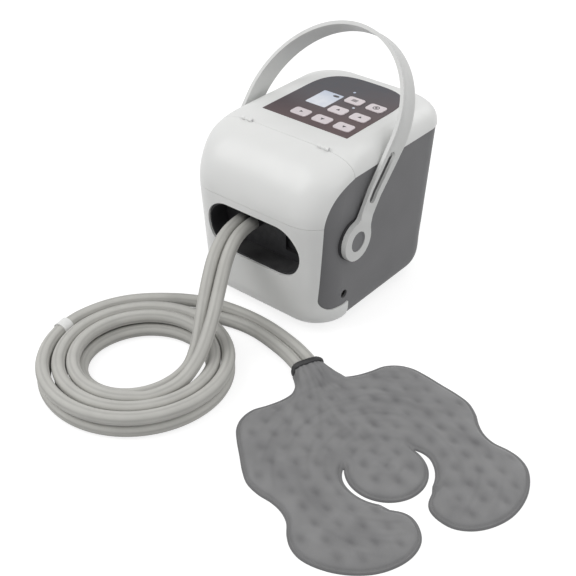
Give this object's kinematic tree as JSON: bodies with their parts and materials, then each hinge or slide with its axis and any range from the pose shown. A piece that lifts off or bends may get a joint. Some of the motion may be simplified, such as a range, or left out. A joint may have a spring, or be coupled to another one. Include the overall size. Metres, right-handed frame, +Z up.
{
  "type": "cold therapy machine",
  "caption": "Box-shaped iced-water cold therapy machine with tilting carry handle, keys on top, twin hose from a front recess and a flat lobed body pad.",
  "frame": {"origin": "centre of the machine's footprint on the floor, where its feet rest", "axes": "+Z up, -Y the machine's front with the hose recess, +X its right side seen from the front; the hose and pad lie in front of it on the same floor"},
  "size_m": [0.5595, 0.5391, 0.3321],
  "materials": {
    "grey_shell": "fine matt moulded texture",
    "white_shell": "satin white moulding",
    "handle_plastic": "satin light grey moulding",
    "dark_plastic": "matt black moulding",
    "clear_white_plastic": "natural polypropylene",
    "foam": "closed cell foam",
    "rubber": "soft matt rubber",
    "silicone": "translucent silicone tube",
    "hose": "light warm grey foam sleeve with fine lengthwise ribs",
    "pad_fabric": "grey coated fabric welded in dimples",
    "panel_film": "dark brown printed film",
    "key_film": "pale raised key film",
    "display": "pale blue display glass",
    "display_frame": "matt black",
    "board": "green circuit board",
    "steel": "plated steel",
    "motor_can": "painted steel can"
  },
  "bodies": {
    "machine": {"base_plate": "grey_shell", "base_screws": "steel", "board_screws": "steel", "control_board": "board", "control_panel": "panel_film", "delivery_tube": "silicone", "display_module": "display_frame", "display_window": "display", "front_cover": "white_shell", "handle_stud_left": "grey_shell", "handle_stud_right": "grey_shell", "handle_washer_left": "dark_plastic", "handle_washer_right": "dark_plastic", "hose_bay": "dark_plastic", "hose_clip": "white_shell", "housing": "grey_shell", "key_switches": "display_frame", "lid_hinge_pins": "steel", "lid_seal": "rubber", "pad": "pad_fabric", "pad_clamp": "dark_plastic", "pad_manifold": "pad_fabric", "power_jack": "dark_plastic", "pump_housing": "dark_plastic", "pump_motor": "motor_can", "pump_mount": "rubber", "return_coil": "hose", "return_drop": "hose", "return_lead": "hose", "return_port": "dark_plastic", "rubber_feet": "rubber", "strainer": "dark_plastic", "suction_tube": "silicone", "supply_coil": "hose", "supply_drop": "hose", "supply_lead": "hose", "supply_port": "dark_plastic", "tank": "clear_white_plastic", "tank_insulation": "foam", "top_cover": "white_shell"},
    "lid": {"fill_lid": "white_shell", "lid_liner": "clear_white_plastic"},
    "handle": {"handle": "handle_plastic"},
    "impeller": {"impeller": "clear_white_plastic"},
    "key_mode": {"key_mode": "key_film"},
    "key_power": {"key_power": "key_film"},
    "key_start": {"key_start": "key_film"},
    "key_temperature_down": {"key_temperature_down": "key_film"},
    "key_temperature_up": {"key_temperature_up": "key_film"},
    "key_time_down": {"key_time_down": "key_film"},
    "key_time_up": {"key_time_up": "key_film"}
  },
  "joints": [
    {"name": "handle_swing", "type": "hinge", "parent": "machine", "child": "handle", "pos_m": [0, -0.06, 0.122], "axis": [-1, 0, 0], "range_deg": [-118, 10]},
    {"name": "lid_swing", "type": "hinge", "parent": "machine", "child": "lid", "pos_m": [0, -0.06, 0.2256], "axis": [-1, 0, 0], "range_deg": [0, 100]},
    {"name": "impeller_spin", "type": "hinge", "parent": "machine", "child": "impeller", "pos_m": [-0.045, 0.08, 0.03], "axis": [0, 0, 1], "continuous": true},
    {"name": "key_mode_press", "type": "slide", "parent": "machine", "child": "key_mode", "axis": [0, 0, -1], "range_m": [0, 0.001], "stiffness_N_per_m": 400},
    {"name": "key_power_press", "type": "slide", "parent": "machine", "child": "key_power", "axis": [0, 0, -1], "range_m": [0, 0.001], "stiffness_N_per_m": 400},
    {"name": "key_start_press", "type": "slide", "parent": "machine", "child": "key_start", "axis": [0, 0, -1], "range_m": [0, 0.001], "stiffness_N_per_m": 400},
    {"name": "key_temperature_down_press", "type": "slide", "parent": "machine", "child": "key_temperature_down", "axis": [0, 0, -1], "range_m": [0, 0.001], "stiffness_N_per_m": 400},
    {"name": "key_temperature_up_press", "type": "slide", "parent": "machine", "child": "key_temperature_up", "axis": [0, 0, -1], "range_m": [0, 0.001], "stiffness_N_per_m": 400},
    {"name": "key_time_down_press", "type": "slide", "parent": "machine", "child": "key_time_down", "axis": [0, 0, -1], "range_m": [0, 0.001], "stiffness_N_per_m": 400},
    {"name": "key_time_up_press", "type": "slide", "parent": "machine", "child": "key_time_up", "axis": [0, 0, -1], "range_m": [0, 0.001], "stiffness_N_per_m": 400}
  ]
}
